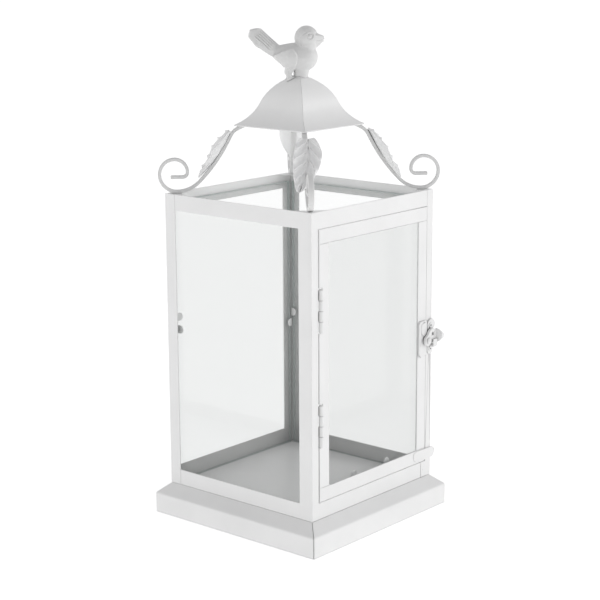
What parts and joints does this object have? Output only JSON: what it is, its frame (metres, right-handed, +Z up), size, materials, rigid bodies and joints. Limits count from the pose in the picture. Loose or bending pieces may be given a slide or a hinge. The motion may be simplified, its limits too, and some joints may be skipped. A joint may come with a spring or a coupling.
{
  "type": "candle lantern",
  "caption": "Square glazed metal candle lantern with a hinged, latched glass door, a bell roof on scrolled straps with leaves, and a bird finial.",
  "frame": {"origin": "centre of the base's underside, on the surface that the lantern stands on", "axes": "+Z up; -Y towards the side with the door, -X towards the door's hinge side"},
  "size_m": [0.138, 0.138, 0.32],
  "materials": {
    "painted_sheet": "satin white enamel on sheet steel",
    "painted_casting": "satin white enamel on cast metal",
    "clear_glass": "clear float glass with a pale green edge",
    "zinc_steel": "bright zinc plating"
  },
  "bodies": {
    "lantern_body": {"base_tray": "painted_sheet", "front_sheet": "painted_sheet", "rear_sheet": "painted_sheet", "left_glass_clips": "painted_sheet", "rear_glass_clips": "painted_sheet", "right_glass_clips": "painted_sheet", "upper_hinge_frame_leaf": "painted_sheet", "upper_hinge_pin": "painted_sheet", "lower_hinge_frame_leaf": "painted_sheet", "lower_hinge_pin": "painted_sheet", "latch_keeper": "painted_sheet", "keeper_eyelets": "painted_sheet", "corner_gussets": "painted_sheet", "front_left_strap": "painted_sheet", "front_right_strap": "painted_sheet", "rear_right_strap": "painted_sheet", "rear_left_strap": "painted_sheet", "front_roof_panel": "painted_sheet", "right_roof_panel": "painted_sheet", "rear_roof_panel": "painted_sheet", "left_roof_panel": "painted_sheet", "front_left_leaf": "painted_casting", "front_right_leaf": "painted_casting", "rear_right_leaf": "painted_casting", "rear_left_leaf": "painted_casting", "bird": "painted_casting", "left_glass": "clear_glass", "rear_glass": "clear_glass", "right_glass": "clear_glass", "bird_screw": "zinc_steel", "bird_washer": "zinc_steel"},
    "door": {"door_frame": "painted_sheet", "door_glass": "clear_glass", "door_glass_clips": "painted_sheet", "door_pull_tab": "painted_sheet", "upper_hinge_door_leaf": "painted_sheet", "lower_hinge_door_leaf": "painted_sheet", "latch_plate": "painted_sheet", "latch_pivot_rivet": "painted_casting"},
    "latch": {"latch_lever": "painted_casting"}
  },
  "joints": [
    {"name": "door_swing", "type": "hinge", "parent": "lantern_body", "child": "door", "pos_m": [-0.0529, -0.0617, 0.1169], "axis": [0, 0, -1], "range_deg": [0, 165]},
    {"name": "latch_lift", "type": "hinge", "parent": "door", "child": "latch", "pos_m": [0.0532, -0.0644, 0.115], "axis": [0, -1, 0], "range_deg": [0, 95]}
  ]
}
